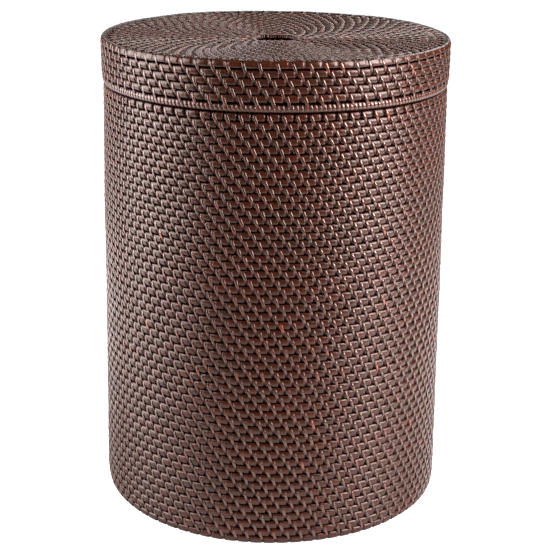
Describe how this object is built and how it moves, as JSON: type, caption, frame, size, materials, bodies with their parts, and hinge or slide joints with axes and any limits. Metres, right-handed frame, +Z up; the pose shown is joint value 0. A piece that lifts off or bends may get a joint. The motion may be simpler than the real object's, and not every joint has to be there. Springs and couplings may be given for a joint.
{
  "type": "coiled rattan laundry basket",
  "caption": "Tall round laundry basket of coiled rattan rods lashed with split cane, with a lift-off lid that has a finger hole.",
  "frame": {"origin": "centre of the underside, on the surface that the foot course stands on", "axes": "+Z up along the basket's axis of rotation, +X to the right and -Y to the front"},
  "size_m": [0.4548, 0.4548, 0.608],
  "materials": {
    "rattan_rod": "dark brown stained rattan core under satin varnish",
    "cane_lashing": "reddish brown split cane under satin varnish, paler on its worn edges"
  },
  "bodies": {
    "basket": {"base_centre_coil": "rattan_rod", "base_middle_coil": "rattan_rod", "base_outer_coil": "rattan_rod", "foot_coil": "rattan_rod", "lower_wall_coil_1": "rattan_rod", "lower_wall_coil_2": "rattan_rod", "lower_wall_coil_3": "rattan_rod", "lower_wall_coil_4": "rattan_rod", "lower_wall_coil_5": "rattan_rod", "lower_wall_coil_6": "rattan_rod", "lower_wall_coil_7": "rattan_rod", "lower_wall_coil_8": "rattan_rod", "upper_wall_coil_1": "rattan_rod", "upper_wall_coil_2": "rattan_rod", "upper_wall_coil_3": "rattan_rod", "upper_wall_coil_4": "rattan_rod", "upper_wall_coil_5": "rattan_rod", "rim_coil": "rattan_rod", "neck_coil": "rattan_rod"},
    "lid": {"lid_hole_coil": "cane_lashing", "lid_inner_coil": "rattan_rod", "lid_middle_coil": "rattan_rod", "lid_outer_coil": "rattan_rod", "lid_edge_coil": "rattan_rod", "lid_skirt_coil": "rattan_rod", "lid_rim_coil": "cane_lashing"}
  },
  "joints": [
    {"name": "lid_lift", "type": "slide", "parent": "basket", "child": "lid", "axis": [0, 0, 1], "range_m": [0, 0.25]}
  ]
}
